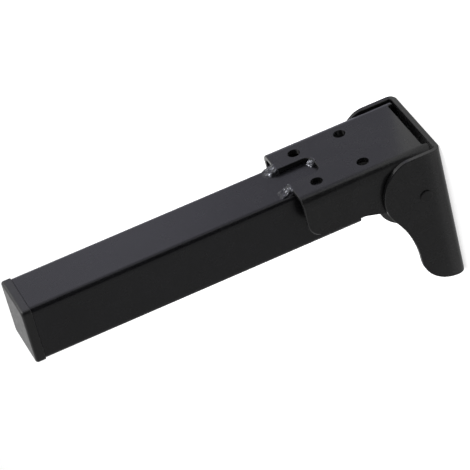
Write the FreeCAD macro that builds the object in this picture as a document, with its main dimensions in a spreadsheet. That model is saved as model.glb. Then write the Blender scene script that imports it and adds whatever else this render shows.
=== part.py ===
"""Folding table leg bracket: a square leg that swings on a pin in a folded sheet bracket.

Millimetres. The origin is the middle of the bracket's mounting face, which lies in Z = 0. The deployed
leg stands along +Z, X runs across the bracket along the pivot pin, and the leg folds towards +Y.
"""
import FreeCAD, Part
import Sketcher
import math
import os

SIZES = {
    # Sheet metal shared by the bracket and the channel
    "sheet": 2.5,
    "bracket_bend": 1.5,
    "channel_bend": 2.5,
    "corner_round": 0.8,
    "edge_break": 0.3,
    # Running clearances
    "side_gap": 0.3,
    "stop_gap": 0.3,
    "pin_play": 0.05,
    # Mounting bracket
    "web_height": 74.5,
    "pivot_below_top": 22.6,
    "pivot_drop": 9.3,
    "ear_radius": 20.6,
    "ear_offset": 3.4,
    "ear_corner": 12.0,
    "neck_radius": 51.0,
    "tongue_depth": 21.0,
    "tip_radius": 17.0,
    "web_hole": 6.0,
    "web_hole_across": 30.0,
    "web_hole_along": 44.0,
    # Pivot pin
    "pin_diameter": 6.0,
    "pin_proud": 0.9,
    "pin_chamfer": 0.3,
    # Hinge channel
    "channel_width": 48.4,
    "channel_reach": 70.5,
    "wall_depth": 22.5,
    "wall_corner": 8.0,
    "heel_slope": 17.0,
    "plate_end_gap": 3.8,
    "slot_width": 13.6,
    "slot_length": 17.3,
    "slot_corner": 4.5,
    "plate_hole": 6.0,
    "plate_hole_across": 27.0,
    "plate_hole_along": 24.0,
    "plate_hole_inset": 11.9,
    # Leg tube
    "leg_reach": 210.0,
    "tube_side": 30.0,
    "tube_wall": 1.5,
    "tube_corner": 3.0,
    "tube_overlap": 28.5,
    # End plug
    "plug_head": 5.0,
    "plug_proud": 0.2,
    "plug_corner": 2.0,
    "plug_edge": 1.4,
    "plug_seam": 0.35,
    "plug_insert": 16.0,
    "plug_gap": 0.4,
    "plug_wall": 3.2,
    "rib_width": 2.0,
    "rib_spacing": 13.0,
    # Weld beads
    "weld_leg": 5.5,
    "weld_crown": 8.0,
    "weld_length": 5.7,
    "slot_weld_leg": 3.2,
    "slot_weld_length": 5.6,
}

SHEET_NAME = "Sizes"
START, END, CENTRE = 1, 2, 3
ORIGIN = (-1, 1)
NEAR = 1e-3
SHARP_DEGREES = 30


def size(alias):
    """The expression that reads one size from the sheet."""
    return f"{SHEET_NAME}.{alias}"


# Places that several pieces share, as expressions over the sheet
BRACKET_BEND_OUTSIDE = f"({size('bracket_bend')} + {size('sheet')})"
CHANNEL_BEND_OUTSIDE = f"({size('channel_bend')} + {size('sheet')})"
EAR_GAP = f"({size('channel_width')} + 2 * {size('side_gap')})"
BRACKET_WIDTH = f"({EAR_GAP} + 2 * {size('sheet')})"
BRACKET_TOP = f"(-{size('web_height')} / 2)"
BRACKET_FOOT = f"({size('web_height')} / 2)"
PIVOT_Y = f"({BRACKET_TOP} + {size('pivot_below_top')})"
PIVOT_Z = f"({size('sheet')} + {size('stop_gap')} + {size('pivot_drop')})"
HEEL_Z = f"({size('sheet')} + {size('bracket_bend')})"
HEEL_RADIUS = f"({PIVOT_Z} - {HEEL_Z})"
TUBE_BACK = f"({PIVOT_Y} + {size('pivot_drop')})"
TUBE_FRONT = f"({TUBE_BACK} - {size('tube_side')})"
PLATE_FRONT = f"({TUBE_FRONT} - {size('sheet')})"
WALL_EDGE = f"({PLATE_FRONT} + {size('wall_depth')})"
PRONG_Z = size("channel_reach")
SLOT_END_Z = f"({PRONG_Z} - {size('slot_length')})"
PLATE_END_Z = f"({size('sheet')} + {size('plate_end_gap')})"
TUBE_INNER_Z = f"({PRONG_Z} - {size('tube_overlap')})"
PLUG_Z = f"({size('leg_reach')} - {size('plug_head')})"
TUBE_MID_Y = f"({TUBE_BACK} - {size('tube_side')} / 2)"
TUBE_BORE = f"({size('tube_side')} - 2 * {size('tube_wall')})"
PLUG_CORE = f"({TUBE_BORE} - 2 * {size('plug_gap')})"

doc = FreeCAD.newDocument("FoldingLegBracket")
sheet = doc.addObject("Spreadsheet::Sheet", SHEET_NAME)
for row, (alias, value) in enumerate(SIZES.items(), start=1):
    sheet.set(f"A{row}", alias)
    sheet.set(f"B{row}", str(value))
    sheet.setAlias(f"B{row}", alias)
doc.recompute()


def point(x, y):
    """A point of a sketch."""
    return FreeCAD.Vector(x, y, 0)


def new_body(label):
    """An empty body whose label names its file."""
    body = doc.addObject("PartDesign::Body", label)
    body.Label = label
    return body


def new_sketch(body, name, role, offset=None):
    """A sketch on one of the body's own planes, moved along the plane's normal by an expression."""
    sketch = body.newObject("Sketcher::SketchObject", f"{body.Name}_{name}")
    plane = next(feature for feature in body.Origin.OriginFeatures if feature.Role == role)
    sketch.AttachmentSupport = [(plane, "")]
    sketch.MapMode = "FlatFace"
    if offset:
        sketch.setExpression("AttachmentOffset.Base.z", offset)
    return sketch


def hold(sketch, kind, first, second, expression):
    """A driven distance from one point to another, each given as (geometry, position)."""
    apart = sketch.getPoint(*second) - sketch.getPoint(*first)
    present = apart.x if kind == "DistanceX" else apart.y
    index = sketch.addConstraint(Sketcher.Constraint(kind, *first, *second, present))
    sketch.setExpression(f"Constraints[{index}]", expression)


def hold_at(sketch, geometry, position, x=None, y=None):
    """Ties a point's coordinates to expressions."""
    if x is not None:
        hold(sketch, "DistanceX", ORIGIN, (geometry, position), x)
    if y is not None:
        hold(sketch, "DistanceY", ORIGIN, (geometry, position), y)


def hold_radius(sketch, geometry, expression, guess):
    """Ties an arc's or circle's radius to an expression."""
    index = sketch.addConstraint(Sketcher.Constraint("Radius", geometry, guess))
    sketch.setExpression(f"Constraints[{index}]", expression)


def join(sketch, first, second, smooth=False):
    """Joins the end of one edge to the start of the next, tangent where the outline is smooth."""
    kind = "Tangent" if smooth else "Coincident"
    sketch.addConstraint(Sketcher.Constraint(kind, first, END, second, START))


def line(sketch, x0, y0, x1, y1, along=None):
    """A straight edge, held Horizontal or Vertical where it is one."""
    index = sketch.addGeometry(Part.LineSegment(point(x0, y0), point(x1, y1)))
    if along:
        sketch.addConstraint(Sketcher.Constraint(along, index))
    return index


def arc(sketch, x, y, radius, start, end):
    """A round edge about (x, y) that runs counter-clockwise between two angles in radians."""
    circle = Part.Circle(point(x, y), FreeCAD.Vector(0, 0, 1), radius)
    return sketch.addGeometry(Part.ArcOfCircle(circle, start, end))


def add_circle(sketch, x, y, diameter):
    """A full circle with its centre and diameter given as expressions."""
    index = sketch.addGeometry(Part.Circle(point(0, 0), FreeCAD.Vector(0, 0, 1), 1.0))
    hold_at(sketch, index, CENTRE, x, y)
    hold_radius(sketch, index, f"{diameter} / 2", 1.0)


def add_rectangle(sketch, left, right, low, high):
    """A rectangle whose four sides are expressions."""
    corners = ((0, 0), (1, 0), (1, 1), (0, 1))
    sides = []
    for index, along in enumerate(("Horizontal", "Vertical", "Horizontal", "Vertical")):
        sides.append(line(sketch, *corners[index], *corners[(index + 1) % 4], along))
    for index in range(4):
        join(sketch, sides[index], sides[(index + 1) % 4])
    hold_at(sketch, sides[0], START, left, low)
    hold_at(sketch, sides[2], START, right, high)


def add_feature(body, kind, name, sketch):
    """A sketch-based feature of a body."""
    feature = body.newObject(f"PartDesign::{kind}", f"{body.Name}_{name}")
    feature.Profile = sketch
    return feature


def pad(body, name, sketch, length, symmetric=False, downwards=False):
    """Adds the sketch's area over a length, to both sides, or against the sketch's normal."""
    feature = add_feature(body, "Pad", name, sketch)
    feature.SideType = "Symmetric" if symmetric else "One side"
    feature.Reversed = downwards
    feature.setExpression("Length", length)
    return feature


def cut_through(body, name, sketch):
    """Cuts the sketch's area through everything, both ways."""
    feature = add_feature(body, "Pocket", name, sketch)
    feature.Type = "ThroughAll"
    feature.SideType = "Symmetric"
    return feature


def dress_edges(body, kind, name, wanted, amount):
    """Puts a Fillet or Chamfer on those edges of the body's last feature that pass a test."""
    doc.recompute()
    base = body.Tip
    names = [f"Edge{index}" for index, edge in enumerate(base.Shape.Edges, start=1) if wanted(edge)]
    if not names:
        raise RuntimeError(f"{body.Label}: no edge found for {name}")
    feature = body.newObject(f"PartDesign::{kind}", f"{body.Name}_{name}")
    feature.Base = (base, names)
    feature.setExpression("Radius" if kind == "Fillet" else "Size", amount)
    return feature


def runs_along(edge, axis):
    """Whether an edge is straight and parallel to an axis, given as 0, 1 or 2."""
    if edge.Curve.TypeId != "Part::GeomLine":
        return False
    return abs(abs(edge.tangentAt(edge.FirstParameter)[axis]) - 1) < NEAR


def middle_of(edge):
    """The point halfway along an edge."""
    return edge.valueAt((edge.FirstParameter + edge.LastParameter) / 2)


def is_at(edge, **places):
    """Whether an edge's middle has the given coordinates, each compared without its sign."""
    middle = middle_of(edge)
    return all(abs(abs(getattr(middle, axis)) - place) < NEAR for axis, place in places.items())


def is_short(edge):
    """Whether an edge only spans the thickness of the sheet."""
    return edge.Length < SIZES["sheet"] + NEAR


def is_sharp(shape, edge):
    """Whether an edge's two faces meet at an angle."""
    middle = middle_of(edge)
    normals = []
    for face in shape.ancestorsOfType(edge, Part.Face):
        normals.append(face.normalAt(*face.Surface.parameter(middle)))
    return len(normals) == 2 and math.degrees(normals[0].getAngle(normals[1])) > SHARP_DEGREES


def is_hole_rim(edge):
    """Whether an edge is the rim of a round hole."""
    return edge.Curve.TypeId == "Part::GeomCircle" and edge.isClosed()


def break_edges(body):
    """Takes the sharpness off the edges of a sheet, apart from the rims of its round holes."""
    doc.recompute()
    cut = body.Tip.Shape
    dress_edges(
        body, "Chamfer", "edge_break",
        lambda edge: is_sharp(cut, edge) and not is_hole_rim(edge), size("edge_break"),
    )


def touching_centre(first, first_radius, second, second_radius, radius):
    """The centre, above both, of a circle that touches two circles from outside."""
    reach = math.dist(first, second)
    to_first = first_radius + radius
    to_second = second_radius + radius
    along = (to_first ** 2 - to_second ** 2 + reach ** 2) / (2 * reach)
    height = math.sqrt(to_first ** 2 - along ** 2)
    ux = (second[0] - first[0]) / reach
    uy = (second[1] - first[1]) / reach
    return first[0] + along * ux - height * uy, first[1] + along * uy + height * ux


def angle_to(centre, target):
    """The direction from one point to another, in radians."""
    return math.atan2(target[1] - centre[1], target[0] - centre[0])


def pivot_place():
    """The pivot's Y and Z as numbers, for an outline's first draft."""
    rise = SIZES["sheet"] + SIZES["stop_gap"] + SIZES["pivot_drop"]
    return SIZES["pivot_below_top"] - SIZES["web_height"] / 2, rise


def plate_front_place():
    """The plate's front face in Y as a number."""
    return pivot_place()[0] + SIZES["pivot_drop"] - SIZES["tube_side"] - SIZES["sheet"]


def tube_middle():
    """The middle of the tube in Y as a number."""
    return pivot_place()[0] + SIZES["pivot_drop"] - SIZES["tube_side"] / 2


def draw_ear(sketch):
    """The side of the bracket: web line, front edge, round ear, hollow neck and rounded tongue tip."""
    half = SIZES["web_height"] / 2
    pivot = pivot_place()
    ear = (pivot[0] - SIZES["ear_offset"], pivot[1])
    tip = (half - SIZES["tip_radius"], SIZES["tongue_depth"] - SIZES["tip_radius"])
    neck = touching_centre(ear, SIZES["ear_radius"], tip, SIZES["tip_radius"], SIZES["neck_radius"])
    inner = SIZES["ear_radius"] - SIZES["ear_corner"]
    corner_y = SIZES["ear_corner"] - half
    corner = (corner_y, ear[1] + math.sqrt(inner ** 2 - (corner_y - ear[0]) ** 2))

    web = line(sketch, -half, 0, half, 0, "Horizontal")
    foot = line(sketch, half, 0, half, tip[1], "Vertical")
    tip_arc = arc(sketch, *tip, SIZES["tip_radius"], 0, angle_to(tip, neck))
    neck_arc = arc(sketch, *neck, SIZES["neck_radius"], angle_to(neck, ear), angle_to(neck, tip))
    ear_arc = arc(sketch, *ear, SIZES["ear_radius"], angle_to(ear, neck), angle_to(ear, corner))
    corner_arc = arc(sketch, *corner, SIZES["ear_corner"], angle_to(ear, corner), math.pi)
    front = line(sketch, -half, corner[1], -half, 0, "Vertical")

    join(sketch, web, foot)
    join(sketch, foot, tip_arc, smooth=True)
    sketch.addConstraint(Sketcher.Constraint("Tangent", tip_arc, END, neck_arc, END))
    sketch.addConstraint(Sketcher.Constraint("Tangent", neck_arc, START, ear_arc, START))
    join(sketch, ear_arc, corner_arc, smooth=True)
    join(sketch, corner_arc, front, smooth=True)
    join(sketch, front, web)
    hold_at(sketch, web, START, BRACKET_TOP, "0")
    hold_at(sketch, web, END, BRACKET_FOOT)
    hold_radius(sketch, tip_arc, size("tip_radius"), SIZES["tip_radius"])
    hold_at(sketch, tip_arc, CENTRE, None, f"{size('tongue_depth')} - {size('tip_radius')}")
    hold_radius(sketch, neck_arc, size("neck_radius"), SIZES["neck_radius"])
    hold_radius(sketch, ear_arc, size("ear_radius"), SIZES["ear_radius"])
    hold_at(sketch, ear_arc, CENTRE, f"{PIVOT_Y} - {size('ear_offset')}", PIVOT_Z)
    hold_radius(sketch, corner_arc, size("ear_corner"), SIZES["ear_corner"])


def make_mounting_bracket():
    """The folded U that is screwed under the table, with its ears and tongues."""
    body = new_body("mounting_bracket")
    side = new_sketch(body, "side", "YZ_Plane")
    draw_ear(side)
    pad(body, "blank", side, BRACKET_WIDTH, symmetric=True)

    inside = new_sketch(body, "inside", "XZ_Plane")
    above = f"{PIVOT_Z} + 2 * {size('ear_radius')}"
    add_rectangle(inside, f"-{EAR_GAP} / 2", f"{EAR_GAP} / 2", size("sheet"), above)
    cut_through(body, "fold", inside)

    half_gap = SIZES["channel_width"] / 2 + SIZES["side_gap"]
    half_width = half_gap + SIZES["sheet"]
    dress_edges(
        body, "Fillet", "bend_out",
        lambda edge: runs_along(edge, 1) and is_at(edge, x=half_width, z=0), BRACKET_BEND_OUTSIDE,
    )
    dress_edges(
        body, "Fillet", "bend_in",
        lambda edge: runs_along(edge, 1) and is_at(edge, x=half_gap, z=SIZES["sheet"]), size("bracket_bend"),
    )

    pivot = new_sketch(body, "pivot", "YZ_Plane")
    add_circle(pivot, PIVOT_Y, PIVOT_Z, size("pin_diameter"))
    cut_through(body, "pivot_holes", pivot)

    screws = new_sketch(body, "screws", "XY_Plane")
    for across in ("-", ""):
        for along in ("-", ""):
            add_circle(
                screws, f"{across}{size('web_hole_across')} / 2", f"{along}{size('web_hole_along')} / 2",
                size("web_hole"),
            )
    cut_through(body, "screw_holes", screws)
    break_edges(body)
    return body


def make_pivot_pin():
    """The pin riveted in both ears, its ends a little proud of their faces."""
    body = new_body("pivot_pin")
    section = new_sketch(body, "section", "YZ_Plane")
    add_circle(section, PIVOT_Y, PIVOT_Z, size("pin_diameter"))
    pad(body, "shank", section, f"{BRACKET_WIDTH} + 2 * {size('pin_proud')}", symmetric=True)
    dress_edges(
        body, "Chamfer", "ends", lambda edge: edge.Curve.TypeId == "Part::GeomCircle", size("pin_chamfer"),
    )
    return body


def draw_wall(sketch):
    """The side of the channel: round heel, sloped edge, straight lower edge, prong end and plate line."""
    pivot = pivot_place()
    heel_z = SIZES["sheet"] + SIZES["bracket_bend"]
    heel_radius = pivot[1] - heel_z
    front = plate_front_place()
    edge = front + SIZES["wall_depth"]
    reach = SIZES["channel_reach"]
    corner = SIZES["wall_corner"]
    slope = math.radians(SIZES["heel_slope"])
    turn = (pivot[0] + heel_radius * math.cos(slope), pivot[1] + heel_radius * math.sin(slope))
    slope_z = turn[1] + (turn[0] - edge) / math.tan(slope)

    heel = line(sketch, front, heel_z, pivot[0], heel_z, "Horizontal")
    heel_arc = arc(sketch, *pivot, heel_radius, -math.pi / 2, slope)
    sloped = line(sketch, *turn, edge, slope_z)
    lower = line(sketch, edge, slope_z, edge, reach - corner, "Vertical")
    corner_arc = arc(sketch, edge - corner, reach - corner, corner, 0, math.pi / 2)
    prong = line(sketch, edge - corner, reach, front, reach, "Horizontal")
    plate = line(sketch, front, reach, front, heel_z, "Vertical")

    join(sketch, heel, heel_arc, smooth=True)
    join(sketch, heel_arc, sloped, smooth=True)
    join(sketch, sloped, lower)
    join(sketch, lower, corner_arc, smooth=True)
    join(sketch, corner_arc, prong, smooth=True)
    join(sketch, prong, plate)
    join(sketch, plate, heel)
    hold_at(sketch, heel, START, PLATE_FRONT, HEEL_Z)
    hold_radius(sketch, heel_arc, HEEL_RADIUS, heel_radius)
    hold_at(sketch, heel_arc, CENTRE, PIVOT_Y)
    angle = sketch.addConstraint(Sketcher.Constraint("Angle", sloped, END, lower, START, math.pi - slope))
    sketch.setExpression(f"Constraints[{angle}]", f"180 deg - {size('heel_slope')} * 1 deg")
    hold_at(sketch, lower, START, WALL_EDGE)
    hold_radius(sketch, corner_arc, size("wall_corner"), corner)
    hold_at(sketch, prong, END, None, PRONG_Z)


def make_hinge_channel():
    """The folded U that is welded over the leg's inner end and swings on the pin."""
    body = new_body("hinge_channel")
    side = new_sketch(body, "side", "YZ_Plane")
    draw_wall(side)
    pad(body, "blank", side, size("channel_width"), symmetric=True)

    inside_half = f"({size('channel_width')} / 2 - {size('sheet')})"
    inside = new_sketch(body, "inside", "XY_Plane")
    add_rectangle(inside, f"-{inside_half}", inside_half, TUBE_FRONT, f"{TUBE_BACK} + {size('sheet')}")
    cut_through(body, "fold", inside)

    half_width = SIZES["channel_width"] / 2
    front = plate_front_place()
    dress_edges(
        body, "Fillet", "bend_out",
        lambda edge: runs_along(edge, 2) and is_at(edge, x=half_width, y=abs(front)), CHANNEL_BEND_OUTSIDE,
    )
    inner_x = half_width - SIZES["sheet"]
    inner_y = abs(front) - SIZES["sheet"]
    dress_edges(
        body, "Fillet", "bend_in",
        lambda edge: runs_along(edge, 2) and is_at(edge, x=inner_x, y=inner_y), size("channel_bend"),
    )

    openings = new_sketch(body, "openings", "XZ_Plane", f"-({TUBE_FRONT})")
    flat_half = f"({size('channel_width')} / 2 - {CHANNEL_BEND_OUTSIDE})"
    add_rectangle(openings, f"-{flat_half}", flat_half, f"{HEEL_Z} - {size('sheet')}", PLATE_END_Z)
    for across in ("-", ""):
        for row in ("0", size("plate_hole_along")):
            add_circle(
                openings, f"{across}{size('plate_hole_across')} / 2",
                f"{PRONG_Z} - {size('plate_hole_inset')} - {row}", size("plate_hole"),
            )
    plate_cut = add_feature(body, "Pocket", "plate_openings", openings)
    plate_cut.SideType = "Symmetric"
    plate_cut.setExpression("Length", f"3 * {size('sheet')}")

    slot = new_sketch(body, "slot", "XZ_Plane", f"-({TUBE_FRONT})")
    slot_side = f"{size('slot_width')} / 2"
    add_rectangle(slot, f"-{slot_side}", slot_side, SLOT_END_Z, f"{PRONG_Z} + {size('sheet')}")
    slot_cut = add_feature(body, "Pocket", "slot", slot)
    slot_cut.SideType = "Symmetric"
    slot_cut.setExpression("Length", f"3 * {size('sheet')}")
    slot_half = SIZES["slot_width"] / 2
    slot_end = SIZES["channel_reach"] - SIZES["slot_length"]
    dress_edges(
        body, "Fillet", "slot_corners",
        lambda edge: runs_along(edge, 1) and is_at(edge, x=slot_half, z=slot_end), size("slot_corner"),
    )
    doc.recompute()
    cut = body.Tip.Shape
    dress_edges(
        body, "Fillet", "plate_corners",
        lambda edge: runs_along(edge, 1) and is_short(edge) and is_sharp(cut, edge), size("corner_round"),
    )

    pivot = new_sketch(body, "pivot", "YZ_Plane")
    add_circle(pivot, PIVOT_Y, PIVOT_Z, f"({size('pin_diameter')} + 2 * {size('pin_play')})")
    cut_through(body, "pivot_holes", pivot)
    break_edges(body)
    return body


def add_rounded_square(sketch, side, corner, side_guess, corner_guess):
    """A square with round corners about the tube's middle, from expressions and near values."""
    half = side_guess / 2
    flat = half - corner_guess
    mid = tube_middle()
    ends = (
        ((-flat, -half), (flat, -half)), ((half, -flat), (half, flat)),
        ((flat, half), (-flat, half)), ((-half, flat), (-half, -flat)),
    )
    sides = []
    corners = []
    for quarter, (start, end) in enumerate(ends):
        along = "Horizontal" if quarter % 2 == 0 else "Vertical"
        sides.append(line(sketch, start[0], mid + start[1], end[0], mid + end[1], along))
        turn = -math.pi / 2 + quarter * math.pi / 2
        centre_x = math.copysign(flat, end[0])
        centre_y = mid + math.copysign(flat, end[1])
        corners.append(arc(sketch, centre_x, centre_y, corner_guess, turn, turn + math.pi / 2))
    for quarter in range(4):
        join(sketch, sides[quarter], corners[quarter], smooth=True)
        join(sketch, corners[quarter], sides[(quarter + 1) % 4], smooth=True)
        if quarter:
            sketch.addConstraint(Sketcher.Constraint("Equal", corners[0], corners[quarter]))
    hold_radius(sketch, corners[0], corner, corner_guess)
    hold_at(sketch, sides[0], START, None, f"{TUBE_MID_Y} - {side} / 2")
    hold_at(sketch, sides[2], START, None, f"{TUBE_MID_Y} + {side} / 2")
    hold_at(sketch, sides[1], START, f"{side} / 2")
    hold_at(sketch, sides[3], START, f"-{side} / 2")


def make_leg_tube():
    """The square tube of the leg, open at its inner end and closed by the plug at its foot."""
    body = new_body("leg_tube")
    section = new_sketch(body, "section", "XY_Plane", TUBE_INNER_Z)
    add_rounded_square(
        section, size("tube_side"), size("tube_corner"), SIZES["tube_side"], SIZES["tube_corner"],
    )
    add_rounded_square(
        section, TUBE_BORE, f"({size('tube_corner')} - {size('tube_wall')})",
        SIZES["tube_side"] - 2 * SIZES["tube_wall"], SIZES["tube_corner"] - SIZES["tube_wall"],
    )
    pad(body, "wall", section, f"{PLUG_Z} - {TUBE_INNER_Z}")
    return body


def is_head_rim(edge, seam):
    """Whether an edge lies on the outer rim of the plug's head, where it meets the tube."""
    box = edge.BoundBox
    if max(abs(box.ZMin - seam), abs(box.ZMax - seam)) > NEAR:
        return False
    middle = middle_of(edge)
    bore_half = SIZES["tube_side"] / 2 - SIZES["tube_wall"]
    return max(abs(middle.x), abs(middle.y - tube_middle())) > bore_half + NEAR


def make_end_plug():
    """The moulded plug: a head that covers the tube's end and a hollow insert with grip ribs."""
    body = new_body("end_plug")
    bore = SIZES["tube_side"] - 2 * SIZES["tube_wall"]
    core_side = bore - 2 * SIZES["plug_gap"]
    core_corner = SIZES["tube_corner"] - SIZES["tube_wall"]
    core = new_sketch(body, "core", "XY_Plane", PLUG_Z)
    add_rounded_square(
        core, PLUG_CORE, f"({size('tube_corner')} - {size('tube_wall')})", core_side, core_corner,
    )
    pad(body, "insert", core, size("plug_insert"), downwards=True)

    ribs = new_sketch(body, "ribs", "XY_Plane", PLUG_Z)
    half_bore = f"{TUBE_BORE} / 2"
    for sign in ("-", ""):
        rib_middle = f"{sign}{size('rib_spacing')} / 2"
        low = f"{rib_middle} - {size('rib_width')} / 2"
        high = f"{rib_middle} + {size('rib_width')} / 2"
        root = f"({PLUG_CORE} / 2 - {size('plug_gap')})"
        for side in ("-", ""):
            near, far = (f"-{half_bore}", f"-{root}") if side else (root, half_bore)
            add_rectangle(ribs, near, far, f"{TUBE_MID_Y} + {low}", f"{TUBE_MID_Y} + {high}")
            add_rectangle(ribs, low, high, f"{TUBE_MID_Y} + {near}", f"{TUBE_MID_Y} + {far}")
    pad(body, "grip_ribs", ribs, f"{size('plug_insert')} - {size('plug_wall')}", downwards=True)

    head = new_sketch(body, "head", "XY_Plane", PLUG_Z)
    head_side = f"({size('tube_side')} + 2 * {size('plug_proud')})"
    head_guess = SIZES["tube_side"] + 2 * SIZES["plug_proud"]
    add_rounded_square(head, head_side, size("plug_corner"), head_guess, SIZES["plug_corner"])
    pad(body, "head", head, size("plug_head"))
    end = SIZES["leg_reach"]
    dress_edges(body, "Fillet", "head_edge", lambda edge: edge.BoundBox.ZMin > end - NEAR, size("plug_edge"))
    seam = end - SIZES["plug_head"]
    dress_edges(body, "Chamfer", "head_seam", lambda edge: is_head_rim(edge, seam), size("plug_seam"))

    hollow = new_sketch(body, "hollow", "XY_Plane", f"{PLUG_Z} - {size('plug_insert')}")
    hollow_half = f"({PLUG_CORE} / 2 - {size('plug_wall')})"
    hollow_low = f"{TUBE_MID_Y} - {hollow_half}"
    hollow_high = f"{TUBE_MID_Y} + {hollow_half}"
    add_rectangle(hollow, f"-{hollow_half}", hollow_half, hollow_low, hollow_high)
    hollow_cut = add_feature(body, "Pocket", "hollow", hollow)
    hollow_cut.Reversed = True
    hollow_cut.setExpression("Length", size("plug_insert"))
    return body


def draw_weld(sketch, root_place, root, leg_alias):
    """The section of a weld: its seat on the tube, its convex crown and its root on the plate's edge."""
    plate = plate_front_place()
    tube = plate + SIZES["sheet"]
    toe = root_place + SIZES[leg_alias]
    radius = SIZES["weld_crown"]
    chord = math.dist((tube, toe), (plate, root_place))
    inset = math.sqrt(radius ** 2 - chord ** 2 / 4) / chord
    centre_y = (tube + plate) / 2 + inset * (toe - root_place)
    centre_z = (toe + root_place) / 2 - inset * (tube - plate)

    seat = line(sketch, tube, root_place, tube, toe, "Vertical")
    start = angle_to((centre_y, centre_z), (tube, toe))
    finish = angle_to((centre_y, centre_z), (plate, root_place)) % (2 * math.pi)
    crown = arc(sketch, centre_y, centre_z, radius, start, finish)
    back = line(sketch, plate, root_place, tube, root_place, "Horizontal")
    join(sketch, seat, crown)
    join(sketch, crown, back)
    join(sketch, back, seat)
    hold_at(sketch, seat, START, TUBE_FRONT, root)
    hold_at(sketch, seat, END, None, f"{root} + {size(leg_alias)}")
    hold_at(sketch, back, START, PLATE_FRONT)
    hold_radius(sketch, crown, size("weld_crown"), radius)


def make_weld(label, start_x, length, section, carrier):
    """One weld along X in the corner between the plate's edge and the tube, cut to seat on the plate."""
    bead = new_body(f"{label}_bead")
    profile = new_sketch(bead, "section", "YZ_Plane", start_x)
    draw_weld(profile, *section)
    pad(bead, "run", profile, length)
    seated = doc.addObject("Part::Cut", label)
    seated.Base = bead
    seated.Tool = carrier
    seated.Label = label
    return seated


def make_welds(channel):
    """The three welds that hold the tube to the plate: at both prongs and in the slot's far half."""
    slot_half = f"{size('slot_width')} / 2"
    reach = SIZES["channel_reach"]
    prong = (reach, PRONG_Z, "weld_leg")
    slot_end = (reach - SIZES["slot_length"], SLOT_END_Z, "slot_weld_leg")
    near_start = f"-({slot_half} + {size('weld_length')})"
    slot_start = f"({slot_half} - {size('slot_weld_length')})"
    return [
        make_weld("weld_far_prong", slot_half, size("weld_length"), prong, channel),
        make_weld("weld_near_prong", near_start, size("weld_length"), prong, channel),
        make_weld("weld_slot", slot_start, size("slot_weld_length"), slot_end, channel),
    ]


def check_document(pieces):
    """Stops with a message where an object failed or a piece isn't one valid solid."""
    for item in doc.Objects:
        if "Invalid" in item.State or "Error" in item.State:
            raise RuntimeError(f"{item.Name} failed: {item.State}")
    for piece in pieces:
        if piece.Shape.isNull() or not piece.Shape.isValid() or len(piece.Shape.Solids) != 1:
            raise RuntimeError(f"{piece.Label} is not one valid solid")


def main():
    """Builds every piece, checks it and writes it to its file."""
    channel = make_hinge_channel()
    pieces = [make_mounting_bracket(), make_pivot_pin(), channel, make_leg_tube(), make_end_plug()]
    pieces += make_welds(channel)
    doc.recompute()
    check_document(pieces)
    os.makedirs("parts", exist_ok=True)
    for piece in pieces:
        piece.Shape.exportStep(f"parts/{piece.Label}.step")
        print(f"{piece.Label}: {piece.Shape.Volume:.1f} mm3")


main()
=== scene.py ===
"""Looks of a folding table leg bracket: black coated steel, a moulded foot plug and painted weld beads.

Metres, in the part's own frame: the mounting face lies on the floor, the leg stands along +Z, the pivot
pin runs along X and the welded plate faces -Y. The near side is the one at -X, towards the camera.
"""

import logging
import math
from dataclasses import dataclass
from enum import Enum
from typing import Any

import bmesh
import bpy
from mathutils import Matrix, Vector, noise


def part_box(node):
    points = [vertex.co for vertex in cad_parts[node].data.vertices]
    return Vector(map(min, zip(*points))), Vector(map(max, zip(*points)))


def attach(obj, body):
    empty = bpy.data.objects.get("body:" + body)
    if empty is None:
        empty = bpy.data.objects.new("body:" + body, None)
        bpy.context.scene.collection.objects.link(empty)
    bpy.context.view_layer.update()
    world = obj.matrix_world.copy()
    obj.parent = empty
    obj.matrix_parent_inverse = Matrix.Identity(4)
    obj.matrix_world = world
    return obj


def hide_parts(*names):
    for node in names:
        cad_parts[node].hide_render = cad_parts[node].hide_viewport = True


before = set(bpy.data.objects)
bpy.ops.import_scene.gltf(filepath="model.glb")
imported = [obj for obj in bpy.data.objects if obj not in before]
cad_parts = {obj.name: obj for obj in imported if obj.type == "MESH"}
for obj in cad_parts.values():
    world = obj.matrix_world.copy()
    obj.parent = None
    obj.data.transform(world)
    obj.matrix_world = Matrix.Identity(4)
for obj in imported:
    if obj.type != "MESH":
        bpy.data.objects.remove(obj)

LOG = logging.getLogger("leg_bracket")
MM = 0.001
LEG_BODY = "leg"
Colour = tuple[float, float, float]
Point = tuple[float, float, float]
Spot = tuple[float, float]
Sockets = dict[str | int, Any]
WHITE: Colour = (1.0, 1.0, 1.0)


class Slot(str, Enum):
    """The record's material slots."""

    POWDER_COAT = "powder_coat"
    TUBE_COAT = "tube_coat"
    PIN_PAINT = "pin_paint"
    PLUG_PLASTIC = "plug_plastic"
    WELD_PAINT = "weld_paint"


class Seen(Enum):
    """Which rays see a studio card."""

    BY_ALL = "all"
    BY_GLOSS = "gloss"


def new_object(name: str, mesh_edit: bmesh.types.BMesh, material: bpy.types.Material) -> bpy.types.Object:
    """Makes an object at the origin from a finished bmesh, which is freed.

    Args:
        name: the object's name.
        mesh_edit: the shape, in the part's frame.
        material: its finish.

    Returns:
        The object, in the scene.
    """
    mesh = bpy.data.meshes.new(name)
    mesh_edit.to_mesh(mesh)
    mesh_edit.free()
    mesh.materials.append(material)
    made = bpy.data.objects.new(name, mesh)
    bpy.context.scene.collection.objects.link(made)
    return made


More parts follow.
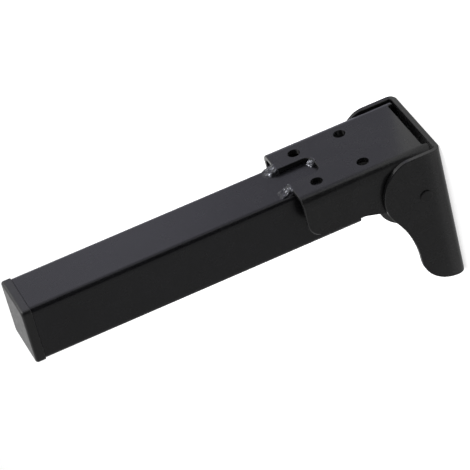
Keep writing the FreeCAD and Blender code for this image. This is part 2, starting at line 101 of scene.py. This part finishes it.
class ShaderGraph:
    """A material whose nodes are added one by one."""

    # The range that holds nearly all of a noise pattern
    NOISE_LOW = 0.3
    NOISE_HIGH = 0.7

    def __init__(self, name: str) -> None:
        """Starts an empty material.

        Args:
            name: the material's name.
        """
        self.material = bpy.data.materials.new(name)
        self.material.use_nodes = True
        self.tree = self.material.node_tree
        self.tree.nodes.clear()
        self.output = self.add("ShaderNodeOutputMaterial")

    def add(self, kind: str, sockets: Sockets | None = None, **settings: Any) -> bpy.types.Node:
        """Adds a node.

        Args:
            kind: the node's Blender type.
            sockets: values and links for its inputs, by name or number. A socket of another node is linked.
            settings: the node's own properties.

        Returns:
            The new node.
        """
        node = self.tree.nodes.new(kind)
        for key, value in settings.items():
            setattr(node, key, value)
        for key, value in (sockets or {}).items():
            if isinstance(value, bpy.types.NodeSocket):
                self.tree.links.new(value, node.inputs[key])
            else:
                node.inputs[key].default_value = value
        return node

    def place(self) -> bpy.types.NodeSocket:
        """Adds the surface point in the part's frame."""
        return self.add("ShaderNodeTexCoord").outputs["Object"]

    def noise(self, place: bpy.types.NodeSocket, grain: float, layers: float) -> bpy.types.NodeSocket:
        """Adds a cloudy pattern that is read at a place, with blobs of a grain and some finer layers."""
        node = self.add("ShaderNodeTexNoise", {"Vector": place, "Scale": 1.0 / grain, "Detail": layers})
        return node.outputs["Fac"]

    def span(self, value: bpy.types.NodeSocket, low: float, high: float) -> bpy.types.NodeSocket:
        """Spreads a noise pattern over a range.

        Args:
            value: the pattern.
            low: what its dark part becomes.
            high: what its bright part becomes.

        Returns:
            The spread pattern.
        """
        spread = self.add("ShaderNodeMapRange", {
            "Value": value,
            "From Min": self.NOISE_LOW,
            "From Max": self.NOISE_HIGH,
            "To Min": low,
            "To Max": high,
        })
        return spread.outputs["Result"]

    def blend(self, amount: bpy.types.NodeSocket, first: Colour, second: Colour) -> bpy.types.NodeSocket:
        """Mixes two colours by a pattern.

        Args:
            amount: the pattern.
            first: the colour where it is dark.
            second: the colour where it is bright.

        Returns:
            The mixed colour.
        """
        node = self.add("ShaderNodeMix", {"Factor": amount}, data_type="RGBA")
        node.inputs["A"].default_value = (*first, 1.0)
        node.inputs["B"].default_value = (*second, 1.0)
        colours = [output for output in node.outputs if output.type == "RGBA"]
        return colours[0]

    def bump(self, height: bpy.types.NodeSocket, depth: float) -> bpy.types.NodeSocket:
        """Adds the normal of a relief that follows a pattern and rises by a depth."""
        node = self.add("ShaderNodeBump", {"Height": height, "Distance": depth, "Strength": 1.0})
        return node.outputs["Normal"]

    def finish(self, surface: bpy.types.Node) -> bpy.types.Material:
        """Ends the material in a surface shader and hands it over."""
        self.tree.links.new(surface.outputs[0], self.output.inputs["Surface"])
        return self.material


@dataclass(frozen=True)
class CoatFinish:
    """A sprayed or moulded black surface: cloudy tone, uneven gloss and a fine skin.

    Attributes:
        slot: the record's material slot, which also names the material.
        dark: the colour in the darkest clouds.
        light: the colour in the lightest clouds.
        cloud: the size of the clouds, in metres.
        roughness_low: the roughness where the surface is glossiest.
        roughness_high: the roughness where it is dullest.
        skin_grain: the size of the skin's grains, in metres.
        skin_depth: how far the grains rise, in metres.
        level: the strength of the reflection.
        sheen: the colour of the reflection.
        cloud_layers: how many finer layers the clouds have.
        skin_layers: how many finer layers the gloss and the skin have.
        gloss_share: the size of the gloss patches against the clouds.
    """

    slot: Slot
    dark: Colour
    light: Colour
    cloud: float
    roughness_low: float
    roughness_high: float
    skin_grain: float
    skin_depth: float
    level: float
    sheen: Colour = WHITE
    cloud_layers: float = 4.0
    skin_layers: float = 2.0
    gloss_share: float = 0.5

    def material(self) -> bpy.types.Material:
        """Builds the node material.

        Returns:
            The material.
        """
        graph = ShaderGraph(self.slot.value)
        place = graph.place()
        cloud = graph.noise(place, self.cloud, self.cloud_layers)
        skin = graph.noise(place, self.skin_grain, self.skin_layers)
        gloss = graph.noise(place, self.cloud * self.gloss_share, self.skin_layers)
        shader = graph.add("ShaderNodeBsdfPrincipled", {
            "Base Color": graph.blend(graph.span(cloud, 0.0, 1.0), self.dark, self.light),
            "Roughness": graph.span(gloss, self.roughness_low, self.roughness_high),
            "Normal": graph.bump(skin, self.skin_depth),
            "Specular IOR Level": self.level,
            "Specular Tint": (*self.sheen, 1.0),
        })
        return graph.finish(shader)


@dataclass(frozen=True)
class DressedNodes:
    """CAD nodes that keep their shape and get a finish.

    Attributes:
        nodes: the names of the nodes.
        finish: what they are finished with.
    """

    nodes: tuple[str, ...]
    finish: CoatFinish

    def dress(self) -> None:
        """Gives every node the finish."""
        material = self.finish.material()
        for name in self.nodes:
            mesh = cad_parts[name].data
            mesh.materials.clear()
            mesh.materials.append(material)
            LOG.info("%s: %s", name, material.name)


@dataclass(frozen=True)
class WeldSeat:
    """Where a weld lies.

    Attributes:
        near: the X of its near end.
        far: the X of its far end.
        root: the Z of its root, at the plate's edge.
        toe: the Z of its toe, on the tube.
        plate: the Y of the plate's face.
        tube: the Y of the tube's face.
    """

    near: float
    far: float
    root: float
    toe: float
    plate: float
    tube: float

    @classmethod
    def of_node(cls, node: str) -> "WeldSeat":
        """Reads the seat from the bounds of the weld's, the channel's and the tube's CAD nodes.

        Args:
            node: the weld's CAD node.

        Returns:
            The seat.
        """
        low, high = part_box(node)
        return cls(
            near=low.x,
            far=high.x,
            root=low.z,
            toe=high.z,
            plate=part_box("hinge_channel")[0].y,
            tube=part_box("leg_tube")[0].y,
        )


@dataclass(frozen=True)
class WeldBead:
    """A painted weld: a hollow fillet with crescent ripples and uneven lumps, rounded at both ends.

    A point of its top is worked out from a spot on a square of side 2, with X along the bead and Y from
    the plate to the toe. A fall is the share of that way, from 0 on the plate to 1 at the toe.

    Attributes:
        node: the weld's CAD node, which the bead replaces.
        lump_shift: which stretch of the pattern of lumps it shows.
        near_spread: how far it runs past the solid's near end.
        far_spread: how far it runs past the solid's far end, below 0 if it stops short.
        toe_run: how far its toe runs past the solid's toe, below 0 if it stops short.
        toe_waver: the share of its reach by which the toe's line wavers.
        end_reach: the share of its reach that is left at its ends.
        bluntness: the power that rounds its ends. More is blunter.
        corner: the radius of the slot's corner that its far end follows, or 0 along a straight edge.
        lap: how far it laps over the plate.
        climb: how far it stands over the plate.
        shoulder: the fall at which it has climbed that far.
        hollow: the power that hollows its slope. 1 is straight.
        ripples: how many ripples it has.
        ripple_rise: how far a ripple rises.
        ripple_bow: how far a ripple bends back at the toe, in halves of the bead's length.
        bow_power: the power of that bend.
        lump_size: the size of a lump.
        lump_rise: how far a lump rises.
        spatter_rate: how many times finer the spatter is than the lumps.
        spatter_rise: how far the spatter rises.
        fade: the power by which ripples and lumps fade towards the toe. More fades later.
        seat_depth: how deep its underside lies in the tube's wall.
        steps: how many faces its top has each way.
    """

    node: str
    lump_shift: float
    near_spread: float = 0.7 * MM
    far_spread: float = 0.7 * MM
    toe_run: float = 0.8 * MM
    toe_waver: float = 0.1
    end_reach: float = 0.55
    bluntness: float = 4.0
    corner: float = 0.0
    lap: float = 0.6 * MM
    climb: float = 0.3 * MM
    shoulder: float = 0.16
    hollow: float = 1.25
    ripples: float = 3.0
    ripple_rise: float = 0.12 * MM
    ripple_bow: float = 0.4
    bow_power: float = 2.0
    lump_size: float = 2.2 * MM
    lump_rise: float = 0.5 * MM
    spatter_rate: float = 2.4
    spatter_rise: float = 0.09 * MM
    fade: float = 3.0
    seat_depth: float = 1.2 * MM
    steps: int = 48

    def taper(self, spot: Vector) -> float:
        """How full the bead is at a spot, from 1 in the middle to 0 at both ends."""
        return 1.0 - abs(spot.x) ** self.bluntness

    def swell(self, fall: float) -> float:
        """How far the bead has climbed at a fall, from 0 at the lap's edge to 1 at the shoulder."""
        return math.sin(math.pi / 2 * min(1.0, fall / self.shoulder))

    def plan(self, seat: WeldSeat, spot: Vector, fall: float) -> Spot:
        """Places a spot along the joint and along the tube.

        Args:
            seat: where the weld lies.
            spot: the spot on the square.
            fall: its fall.

        Returns:
            Its X and Z in the part's frame.
        """
        near_end = seat.near - self.near_spread
        far_end = seat.far + self.far_spread
        across = near_end + (spot.x + 1.0) / 2 * (far_end - near_end)
        waver = noise.noise(Vector((across + self.lump_shift, 0.0, 0.0)) / self.lump_size)
        full_reach = (seat.toe + self.toe_run - seat.root) * (1.0 + self.toe_waver * waver)
        reach = full_reach * (self.end_reach + (1.0 - self.end_reach) * self.taper(spot))
        past = min(self.corner, max(0.0, across - seat.far + self.corner))
        bend = self.corner - math.sqrt(self.corner ** 2 - past ** 2)
        return across, seat.root + bend - self.lap + fall * (reach + self.lap)

    def slope(self, seat: WeldSeat, spot: Vector, fall: float) -> float:
        """Works out the smooth height of a spot.

        Args:
            seat: where the weld lies.
            spot: the spot on the square.
            fall: its fall.

        Returns:
            Its Y against the tube's face, below 0 where it stands out.
        """
        swell = self.swell(fall)
        rise = seat.tube - seat.plate + self.climb * swell
        return -rise * math.sqrt(self.taper(spot)) * (1.0 - fall * swell) ** self.hollow

    def relief(self, spot: Vector, fall: float, place: Point) -> float:
        """Works out the ripples, lumps and spatter at a spot.

        Args:
            spot: the spot on the square.
            fall: its fall.
            place: the same spot in the part's frame, laid on the tube's face.

        Returns:
            How far they stand out there.
        """
        wave = spot.x + self.ripple_bow * fall ** self.bow_power
        ripple = self.ripple_rise * math.sin(math.pi * self.ripples * wave)
        grain = Vector((place[0] + self.lump_shift, *place[1:])) / self.lump_size
        lump = self.lump_rise * noise.noise(grain)
        spatter = self.spatter_rise * noise.noise(grain * self.spatter_rate)
        return (ripple + (lump + spatter)) * self.taper(spot) * self.swell(fall) * (1.0 - fall ** self.fade)

    def crown(self, seat: WeldSeat, spot: Vector) -> Vector:
        """Places one point of the bead's top.

        Args:
            seat: where the weld lies.
            spot: the spot on the square.

        Returns:
            The point in the part's frame.
        """
        fall = (spot.y + 1.0) / 2
        across, along = self.plan(seat, spot, fall)
        relief = self.relief(spot, fall, (across, seat.tube, along))
        height = seat.tube + self.slope(seat, spot, fall) - relief
        return Vector((across, height, along))

    def build(self, material: bpy.types.Material) -> bpy.types.Object:
        """Makes the bead in place of its plain CAD solid.

        Args:
            material: the bead's paint.

        Returns:
            The bead.
        """
        seat = WeldSeat.of_node(self.node)
        bead = bmesh.new()
        bmesh.ops.create_grid(bead, x_segments=self.steps, y_segments=self.steps, size=1.0)
        for vert in bead.verts:
            vert.co = self.crown(seat, vert.co.copy())
        grown = bmesh.ops.extrude_face_region(bead, geom=bead.faces[:], use_keep_orig=True)
        for item in grown["geom"]:
            if isinstance(item, bmesh.types.BMVert):
                item.co.y = seat.tube + self.seat_depth
        bmesh.ops.recalc_face_normals(bead, faces=bead.faces)
        for face in bead.faces:
            face.smooth = True
        piece = new_object(f"{self.node}_bead", bead, material)
        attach(piece, LEG_BODY)
        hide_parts(self.node)
        LOG.info("%s: %d faces", piece.name, len(piece.data.polygons))
        return piece


@dataclass(frozen=True)
class StudioCard:
    """A flat card of the studio.

    Attributes:
        name: the card's name.
        corner: where it starts.
        side: the way along its first side.
        rise: the way along its second side.
        seen: which rays see it.
    """

    name: str
    corner: Point
    side: Point
    rise: Point
    seen: Seen = Seen.BY_GLOSS

    def build(self, material: bpy.types.Material) -> bpy.types.Object:
        """Makes the card, and hides it from camera, diffuse, shadow and transmission rays if only gloss
        sees it.

        Args:
            material: the card's surface.

        Returns:
            The card.
        """
        side = Vector(self.side)
        rise = Vector(self.rise)
        turn = Matrix((side, rise, side.cross(rise))).transposed().to_4x4()
        # A unit square with its corner at the origin, stretched along the two sides
        mesh_edit = bmesh.new()
        bmesh.ops.create_grid(mesh_edit, x_segments=1, y_segments=1, size=0.5)
        bmesh.ops.translate(mesh_edit, verts=mesh_edit.verts, vec=(0.5, 0.5, 0.0))
        stretch = Matrix.Translation(Vector(self.corner)) @ turn
        bmesh.ops.transform(mesh_edit, matrix=stretch, verts=mesh_edit.verts)
        card = new_object(self.name, mesh_edit, material)
        if self.seen is Seen.BY_GLOSS:
            card.visible_camera = False
            card.visible_diffuse = False
            card.visible_shadow = False
            card.visible_transmission = False
        return card


@dataclass(frozen=True)
class SoftLamp:
    """A soft square lamp that faces the part.

    Attributes:
        name: the lamp's name.
        place: where it hangs.
        size: the length of its side.
        watts: its power.
        in_gloss: whether it shows in glossy surfaces.
        aim: the point that it faces.
    """

    name: str
    place: Point
    size: float
    watts: float
    in_gloss: bool = True
    aim: Point = (0.0, -0.02, 0.1)

    def build(self) -> bpy.types.Object:
        """Makes the lamp.

        Returns:
            The lamp, in the scene.
        """
        light = bpy.data.lights.new(self.name, "AREA")
        light.shape = "SQUARE"
        light.size = self.size
        light.energy = self.watts
        lamp = bpy.data.objects.new(self.name, light)
        lamp.location = self.place
        lamp.visible_glossy = self.in_gloss
        lamp.rotation_mode = "QUATERNION"
        lamp.rotation_quaternion = (Vector(self.aim) - Vector(self.place)).to_track_quat("-Z", "Y")
        bpy.context.scene.collection.objects.link(lamp)
        return lamp


@dataclass(frozen=True)
class Studio:
    """A white floor and surround, soft lamps, and cards that only gloss sees.

    The side cards stand by the part's near side and lean away from it. The floor cards lie past its far
    side: two bright sheets towards -Y and a dark shade towards +Y. The shade is a painted shadow that
    reflections show in place of the shade under the part.

    Attributes:
        lamps: the lamps.
        floor_side: the length of the floor's side.
        floor_drop: how far the floor lies under the mounting face.
        floor_white: how pale the floor is.
        floor_lift: how bright the floor glows where it is seen.
        surround: how bright the surround is where it lights.
        card_lift: the Z where the floor cards lie and the side cards start.
        card_foot: the X of the side cards' feet.
        card_lean: how far the side cards lean out, as a share of their height.
        card_height: how tall the side cards are.
        card_half: how far the side cards run each way along Y.
        card_split: the Y where the dark flag ends and the bright bounce starts.
        flag_glow: how bright the flag is.
        bounce_glow: how bright the bounce is.
        sheet_tint: the colour of the floor cards.
        sheet_start: the X where the floor cards start.
        sheet_split: the X where the near sheet ends and the far one starts.
        sheet_reach: how far the sheets run along X and -Y.
        near_glow: how bright the near sheet is.
        far_glow: how bright the far sheet is.
        shade_start: the Y where the shade starts.
        shade_reach: how far the shade runs along X and Y.
        shade_glow: how bright the shade is. Its darkness is a painted shadow that only reflections show.
    """

    lamps: tuple[SoftLamp, ...]
    floor_side: float = 12.0
    floor_drop: float = 0.2 * MM
    floor_white: float = 0.8
    floor_lift: float = 0.7
    surround: float = 0.3
    card_lift: float = 1.0 * MM
    card_foot: float = -0.043
    card_lean: float = 0.5
    card_height: float = 1.3
    card_half: float = 1.2
    card_split: float = -0.062
    flag_glow: float = 0.01
    bounce_glow: float = 0.53
    sheet_tint: Colour = (0.86, 0.85, 1.0)
    sheet_start: float = 0.03
    sheet_split: float = 0.45
    sheet_reach: float = 2.4
    near_glow: float = 1.0
    far_glow: float = 1.5
    shade_start: float = 0.045
    shade_reach: float = 1.2
    shade_glow: float = 0.05

    @staticmethod
    def backdrop_rays(tree: bpy.types.NodeTree) -> bpy.types.NodeSocket:
        """Adds the test for rays that show the white background.

        Args:
            tree: the floor's or the world's nodes.

        Returns:
            1 for camera, glossy and transmission rays, and 0 for the rest.
        """
        rays = tree.nodes.new("ShaderNodeLightPath")
        total = rays.outputs["Is Camera Ray"]
        for name in ("Is Glossy Ray", "Is Transmission Ray"):
            larger = tree.nodes.new("ShaderNodeMath")
            larger.operation = "MAXIMUM"
            tree.links.new(total, larger.inputs[0])
            tree.links.new(rays.outputs[name], larger.inputs[1])
            total = larger.outputs[0]
        return total

    def floor_material(self) -> bpy.types.Material:
        """Makes a pale matt surface that is lifted to white where it is seen, apart from shadows.

        Returns:
            The material.
        """
        graph = ShaderGraph("studio_floor")
        white = (self.floor_white,) * 3 + (1.0,)
        matt = graph.add("ShaderNodeBsdfDiffuse", {"Color": white})
        seen = self.backdrop_rays(graph.tree)
        lift = graph.add("ShaderNodeMath", {0: seen, 1: self.floor_lift}, operation="MULTIPLY")
        glow = graph.add("ShaderNodeEmission", {"Strength": lift.outputs[0]})
        both = graph.add("ShaderNodeAddShader", {0: matt.outputs[0], 1: glow.outputs[0]})
        return graph.finish(both)

    @staticmethod
    def card_material(name: str, glow: float, tint: Colour) -> bpy.types.Material:
        """Makes an evenly lit material with a name, a brightness and a colour."""
        graph = ShaderGraph(name)
        return graph.finish(graph.add("ShaderNodeEmission", {"Color": (*tint, 1.0), "Strength": glow}))

    def build_floor(self) -> None:
        """Makes the floor."""
        side = self.floor_side
        corner = (-side / 2, -side / 2, -self.floor_drop)
        floor = StudioCard("studio_floor", corner, (side, 0.0, 0.0), (0.0, side, 0.0), Seen.BY_ALL)
        floor.build(self.floor_material())

    def build_side_card(self, name: str, start: float, end: float, glow: float) -> None:
        """Makes a leaning card beside the part's near side.

        Args:
            name: the card's name.
            start: the Y where it starts.
            end: the Y where it ends.
            glow: how bright it is.
        """
        corner = (self.card_foot, start, self.card_lift)
        side = (0.0, end - start, 0.0)
        rise = (-self.card_lean * self.card_height, 0.0, self.card_height)
        StudioCard(name, corner, side, rise).build(self.card_material(name, glow, WHITE))

    def build_floor_card(self, name: str, low: Spot, high: Spot, glow: float) -> None:
        """Makes a cool card that lies flat over the floor.

        Args:
            name: the card's name.
            low: its lowest X and Y.
            high: its highest X and Y.
            glow: how bright it is.
        """
        corner = (*low, self.card_lift)
        side = (high[0] - low[0], 0.0, 0.0)
        rise = (0.0, high[1] - low[1], 0.0)
        StudioCard(name, corner, side, rise).build(self.card_material(name, glow, self.sheet_tint))

    def build_cards(self) -> None:
        """Makes the cards that only gloss sees."""
        self.build_side_card("studio_flag", -self.card_half, self.card_split, self.flag_glow)
        self.build_side_card("studio_bounce", self.card_split, self.card_half, self.bounce_glow)
        near_low = (self.sheet_start, -self.sheet_reach)
        near_high = (self.sheet_split, 0.0)
        self.build_floor_card("studio_near_sheet", near_low, near_high, self.near_glow)
        far_low = (self.sheet_split, -self.sheet_reach)
        far_high = (self.sheet_reach, 0.0)
        self.build_floor_card("studio_far_sheet", far_low, far_high, self.far_glow)
        # The shade is a painted shadow: a dark card, seen only in gloss, lying where the shade under the
        # part falls
        shade_low = (self.sheet_start, self.shade_start)
        shade_high = (self.shade_reach, self.shade_reach)
        self.build_floor_card("studio_shade", shade_low, shade_high, self.shade_glow)

    def build_surround(self) -> None:
        """Sets the world: white where it is seen, softer where it lights."""
        world = bpy.data.worlds.new("studio_surround")
        bpy.context.scene.world = world
        world.use_nodes = True
        tree = world.node_tree
        tree.nodes.clear()
        output = tree.nodes.new("ShaderNodeOutputWorld")
        background = tree.nodes.new("ShaderNodeBackground")
        level = tree.nodes.new("ShaderNodeMapRange")
        level.inputs["To Min"].default_value = self.surround
        level.inputs["To Max"].default_value = 1.0
        tree.links.new(self.backdrop_rays(tree), level.inputs["Value"])
        tree.links.new(level.outputs["Result"], background.inputs["Strength"])
        background.inputs["Color"].default_value = (*WHITE, 1.0)
        tree.links.new(background.outputs[0], output.inputs["Surface"])

    def build(self) -> None:
        """Builds the floor, the cards, the surround and the lamps."""
        self.build_floor()
        self.build_cards()
        self.build_surround()
        for lamp in self.lamps:
            lamp.build()
        bpy.context.scene.view_settings.view_transform = "Standard"


@dataclass(frozen=True)
class PhotoCamera:
    """The camera at the photograph's viewing angle.

    Attributes:
        eye: where it stands.
        aim: the point in the middle of its picture.
        up: the way that points up in its picture.
        focal_pixels: its focal length, in pixels of the picture.
        image_pixels: the side of the picture, in pixels.
        sensor_mm: the width of its sensor, in millimetres.
        clip_near: the nearest distance that it sees.
        clip_far: the furthest distance that it sees.
    """

    eye: Point = (-1.16501, -0.9165, 0.38647)
    aim: Point = (-0.03834, -0.04693, 0.10904)
    up: Point = (0.50146, -0.77343, -0.38774)
    focal_pixels: float = 3192.9
    image_pixels: int = 470
    sensor_mm: float = 36.0
    clip_near: float = 0.01
    clip_far: float = 50.0

    def build(self) -> bpy.types.Object:
        """Makes the camera and sets it as the scene's.

        Returns:
            The camera.
        """
        lens = bpy.data.cameras.new("photo_camera")
        lens.sensor_width = self.sensor_mm
        lens.lens = self.focal_pixels * self.sensor_mm / self.image_pixels
        lens.clip_start = self.clip_near
        lens.clip_end = self.clip_far
        back = (Vector(self.eye) - Vector(self.aim)).normalized()
        right = Vector(self.up).cross(back).normalized()
        turn = Matrix((right, back.cross(right), back)).transposed().to_4x4()
        camera = bpy.data.objects.new("photo_camera", lens)
        camera.matrix_world = Matrix.Translation(Vector(self.eye)) @ turn
        bpy.context.scene.collection.objects.link(camera)
        bpy.context.scene.camera = camera
        return camera


POWDER_COAT = CoatFinish(
    slot=Slot.POWDER_COAT,
    dark=(0.008, 0.008, 0.0085),
    light=(0.011, 0.011, 0.0115),
    cloud=12 * MM,
    roughness_low=0.24,
    roughness_high=0.285,
    skin_grain=0.7 * MM,
    skin_depth=0.012 * MM,
    level=0.27,
)
TUBE_COAT = CoatFinish(
    slot=Slot.TUBE_COAT,
    dark=(0.006, 0.006, 0.007),
    light=(0.008, 0.008, 0.0095),
    cloud=15 * MM,
    roughness_low=0.24,
    roughness_high=0.285,
    skin_grain=0.9 * MM,
    skin_depth=0.01 * MM,
    level=0.27,
)
PIN_PAINT = CoatFinish(
    slot=Slot.PIN_PAINT,
    dark=(0.005, 0.005, 0.0055),
    light=(0.008, 0.008, 0.008),
    cloud=2 * MM,
    roughness_low=0.42,
    roughness_high=0.55,
    skin_grain=0.5 * MM,
    skin_depth=0.02 * MM,
    level=0.24,
)
PLUG_PLASTIC = CoatFinish(
    slot=Slot.PLUG_PLASTIC,
    dark=(0.006, 0.006, 0.0065),
    light=(0.009, 0.009, 0.0095),
    cloud=6 * MM,
    roughness_low=0.36,
    roughness_high=0.44,
    skin_grain=0.25 * MM,
    skin_depth=0.01 * MM,
    level=0.34,
)
WELD_PAINT = CoatFinish(
    slot=Slot.WELD_PAINT,
    dark=(0.008, 0.008, 0.009),
    light=(0.014, 0.014, 0.016),
    cloud=1.5 * MM,
    roughness_low=0.08,
    roughness_high=0.15,
    skin_grain=0.4 * MM,
    skin_depth=0.01 * MM,
    level=0.42,
    sheen=(0.86, 0.88, 1.0),
)

DRESSED = (
    DressedNodes(nodes=("mounting_bracket", "hinge_channel"), finish=POWDER_COAT),
    DressedNodes(nodes=("leg_tube",), finish=TUBE_COAT),
    DressedNodes(nodes=("pivot_pin",), finish=PIN_PAINT),
    DressedNodes(nodes=("end_plug",), finish=PLUG_PLASTIC),
)

BEADS = (
    WeldBead(
        node="weld_far_prong",
        lump_shift=16 * MM,
        near_spread=1.2 * MM,
        far_spread=1.8 * MM,
    ),
    WeldBead(
        node="weld_near_prong",
        lump_shift=13 * MM,
        bluntness=9.0,
        spatter_rise=0.12 * MM,
    ),
    WeldBead(
        node="weld_slot",
        lump_shift=15 * MM,
        near_spread=0.6 * MM,
        far_spread=-0.9 * MM,
        toe_run=-0.4 * MM,
        bluntness=5.0,
        corner=4.5 * MM,
        lap=1.0 * MM,
        climb=0.9 * MM,
        lump_rise=0.45 * MM,
    ),
)

LAMPS = (
    SoftLamp("key_lamp", place=(0.5, -1.2, 0.9), size=0.9, watts=9.0),
    SoftLamp("top_lamp", place=(0.3, 0.2, 1.6), size=1.6, watts=14.0, in_gloss=False),
    SoftLamp("glint_lamp", place=(0.8, -0.75, 0.85), size=0.12, watts=3.2),
)


def main() -> None:
    """Dresses the CAD nodes, then makes the welds, the studio and the camera."""
    logging.basicConfig(level=logging.INFO, format="%(name)s: %(message)s")
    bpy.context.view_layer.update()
    for dressed in DRESSED:
        dressed.dress()
    weld_paint = WELD_PAINT.material()
    for bead in BEADS:
        bead.build(weld_paint)
    Studio(LAMPS).build()
    PhotoCamera().build()


if __name__ == "__main__":
    main()
